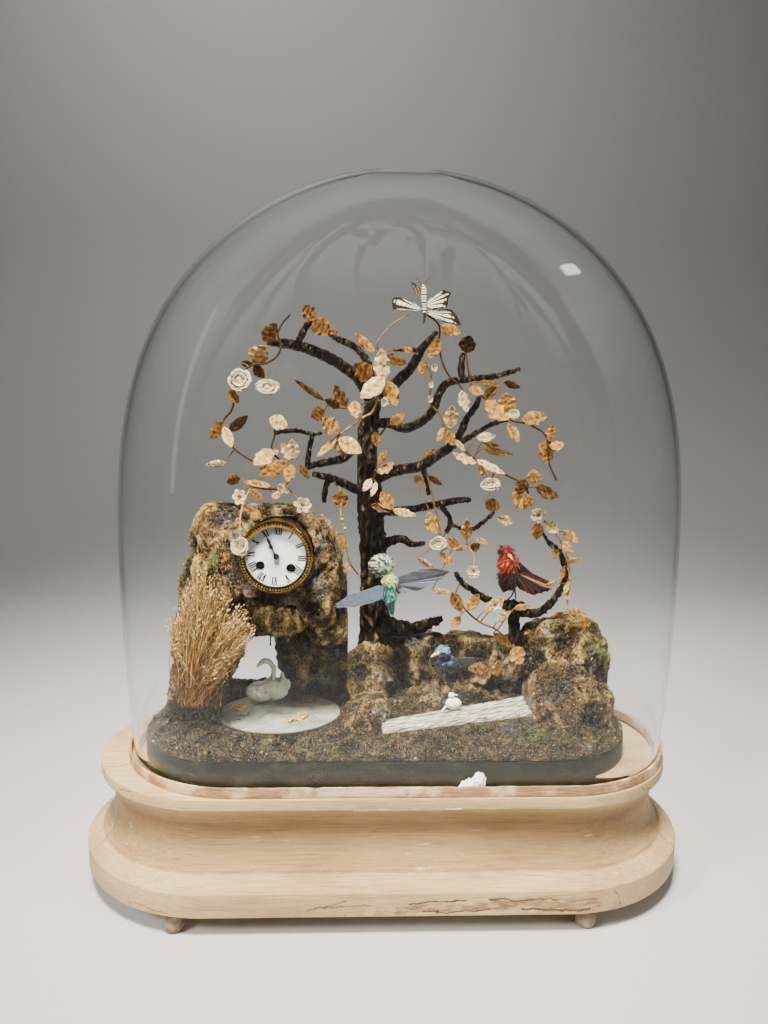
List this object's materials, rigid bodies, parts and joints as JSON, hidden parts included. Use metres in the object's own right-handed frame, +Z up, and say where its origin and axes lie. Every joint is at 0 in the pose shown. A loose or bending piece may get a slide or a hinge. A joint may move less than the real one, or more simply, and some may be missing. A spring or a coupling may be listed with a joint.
{
  "type": "domed butterfly and bird tableau clock",
  "caption": "Butterfly and small birds on a gilt-leaved tree over rockwork with an inset clock and mirror pond, under an oval glass dome on a moulded wooden base.",
  "frame": {"origin": "on the table, under the middle of the base", "axes": "+X to the right as seen from the front, +Y away from the viewer, +Z up; the clock faces -Y"},
  "size_m": [0.6064, 0.277, 0.693],
  "materials": {
    "pale_wood": "matt, worn veneer",
    "brown_wood": "satin, dark edge",
    "clear_glass": "clear",
    "green_edge": "matt green painted edge",
    "rockwork": "rough, brown, green and ochre",
    "mirror_glass": "clouded",
    "gilt": "bright",
    "enamel": "white, glossy",
    "blued_steel": "dark",
    "dark_bark": "dark papier mache bark",
    "gilt_leaf": "stiffened cloth and foil, gold to copper",
    "straw": "dried grass",
    "butterfly_wing": "cream, black and yellow scales",
    "blue_green_feather": "feathers, iridescent",
    "red_feather": "feathers",
    "dark_feather": "feathers",
    "pale_plaster": "cream, worn"
  },
  "bodies": {
    "tableau": {"blue_bird": "dark_feather", "branch_left": "dark_bark", "branch_left_low": "dark_bark", "branch_low": "dark_bark", "branch_right": "dark_bark", "branch_right_high": "dark_bark", "branch_right_low": "dark_bark", "branch_top_left": "dark_bark", "branch_upper_left": "dark_bark", "branch_upper_right": "dark_bark", "butterfly": "butterfly_wing", "chick": "pale_plaster", "clock_bezel": "gilt", "clock_case": "gilt", "clock_dial": "enamel", "clock_glass": "clear_glass", "clock_rock": "rockwork", "dome_hoop": "brown_wood", "fallen_leaf_front": "gilt_leaf", "fallen_leaf_left": "gilt_leaf", "fallen_leaf_right": "gilt_leaf", "foot_back_left": "brown_wood", "foot_back_right": "brown_wood", "foot_front_left": "brown_wood", "foot_front_right": "brown_wood", "front_boulder": "rockwork", "glass_dome": "clear_glass", "glass_rods": "clear_glass", "grass_bush": "straw", "ground_board": "green_edge", "groundwork": "rockwork", "hand_arbor": "blued_steel", "hummingbird": "blue_green_feather", "pendulum_hook": "blued_steel", "perch_stump": "dark_bark", "pond_mirror": "mirror_glass", "rear_rock": "rockwork", "red_bird": "red_feather", "right_rock": "rockwork", "shell_fragment": "pale_plaster", "spray_buds": "gilt_leaf", "spray_butterfly": "gilt_leaf", "spray_crown": "gilt_leaf", "spray_far_left": "gilt_leaf", "spray_hanging": "gilt_leaf", "spray_left": "gilt_leaf", "spray_low": "gilt_leaf", "spray_right": "gilt_leaf", "spray_right_arch": "gilt_leaf", "spray_right_high": "gilt_leaf", "spray_right_low": "gilt_leaf", "spray_top_left": "gilt_leaf", "spray_trunk": "gilt_leaf", "swan": "pale_plaster", "trunk": "dark_bark", "winding_square_left": "blued_steel", "winding_square_right": "blued_steel", "wood_base": "pale_wood"},
    "minute_hand": {"minute_hand": "blued_steel"},
    "hour_hand": {"hour_hand": "blued_steel"}
  },
  "joints": [
    {"name": "minute_turn", "type": "hinge", "parent": "tableau", "child": "minute_hand", "pos_m": [-0.104, -0.067, 0.333], "axis": [0, 1, 0], "continuous": true},
    {"name": "hour_turn", "type": "hinge", "parent": "tableau", "child": "hour_hand", "pos_m": [-0.104, -0.066, 0.333], "axis": [0, 1, 0], "continuous": true}
  ],
  "couplings": [
    {"joint": "hour_turn", "follows": "minute_turn", "ratio": 0.083333}
  ]
}
